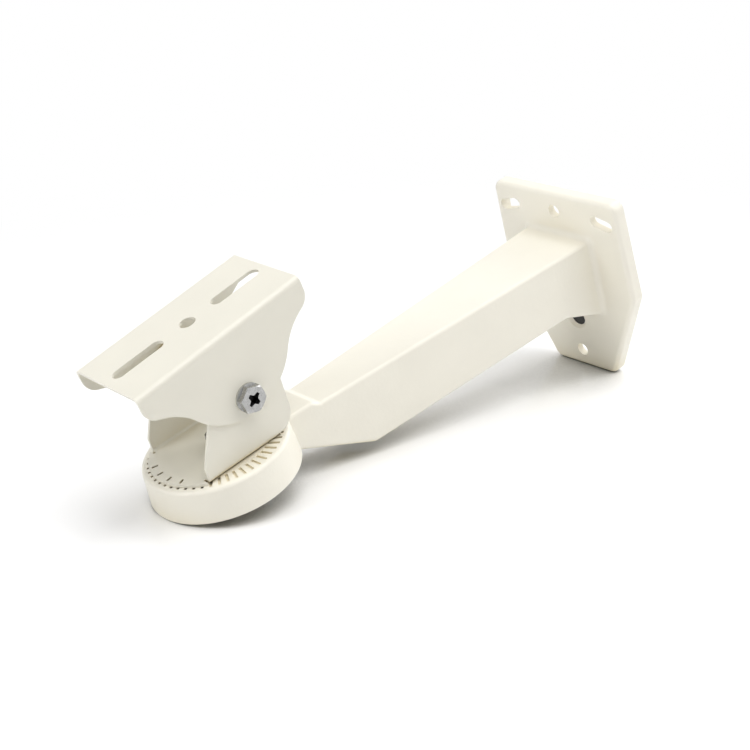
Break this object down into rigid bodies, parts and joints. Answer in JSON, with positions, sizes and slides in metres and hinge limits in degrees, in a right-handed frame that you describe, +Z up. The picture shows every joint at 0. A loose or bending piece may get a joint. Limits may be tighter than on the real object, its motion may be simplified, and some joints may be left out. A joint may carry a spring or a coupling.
{
  "type": "camera wall bracket",
  "caption": "Wall bracket for a surveillance camera: cast arm on a slotted wall plate, round head with a scale, panning yoke and tilting slotted saddle.",
  "frame": {"origin": "middle of the plane of the wall plate's back", "axes": "+X away from the wall along the arm, +Y to the side, +Z up, parallel to the pan axis"},
  "size_m": [0.2813, 0.0922, 0.1641],
  "materials": {
    "casting_paint": "cream powder coat",
    "sheet_paint": "cream powder coat",
    "zinc": "zinc plated",
    "rubber": "matte"
  },
  "bodies": {
    "base": {"arm_casting": "casting_paint", "cable_grommet": "rubber"},
    "yoke": {"pan_yoke": "sheet_paint", "pan_bolt": "zinc", "pan_washer": "zinc", "pan_spring_washer": "zinc", "pan_lower_washer": "zinc", "pan_nut": "zinc", "left_tilt_bolt": "zinc", "left_tilt_spring_washer": "zinc", "left_tilt_washer": "zinc", "left_tilt_inner_washer": "zinc", "left_tilt_nut": "zinc", "right_tilt_bolt": "zinc", "right_tilt_spring_washer": "zinc", "right_tilt_washer": "zinc", "right_tilt_inner_washer": "zinc", "right_tilt_nut": "zinc"},
    "saddle": {"tilt_channel": "sheet_paint"}
  },
  "joints": [
    {"name": "pan", "type": "hinge", "parent": "base", "child": "yoke", "pos_m": [0.2425, 0, 0.0423], "axis": [0, 0, 1], "continuous": true},
    {"name": "tilt", "type": "hinge", "parent": "yoke", "child": "saddle", "pos_m": [0.2311, 0, 0.07075], "axis": [0, 1, 0], "range_deg": [-65.4, 54.6]}
  ]
}
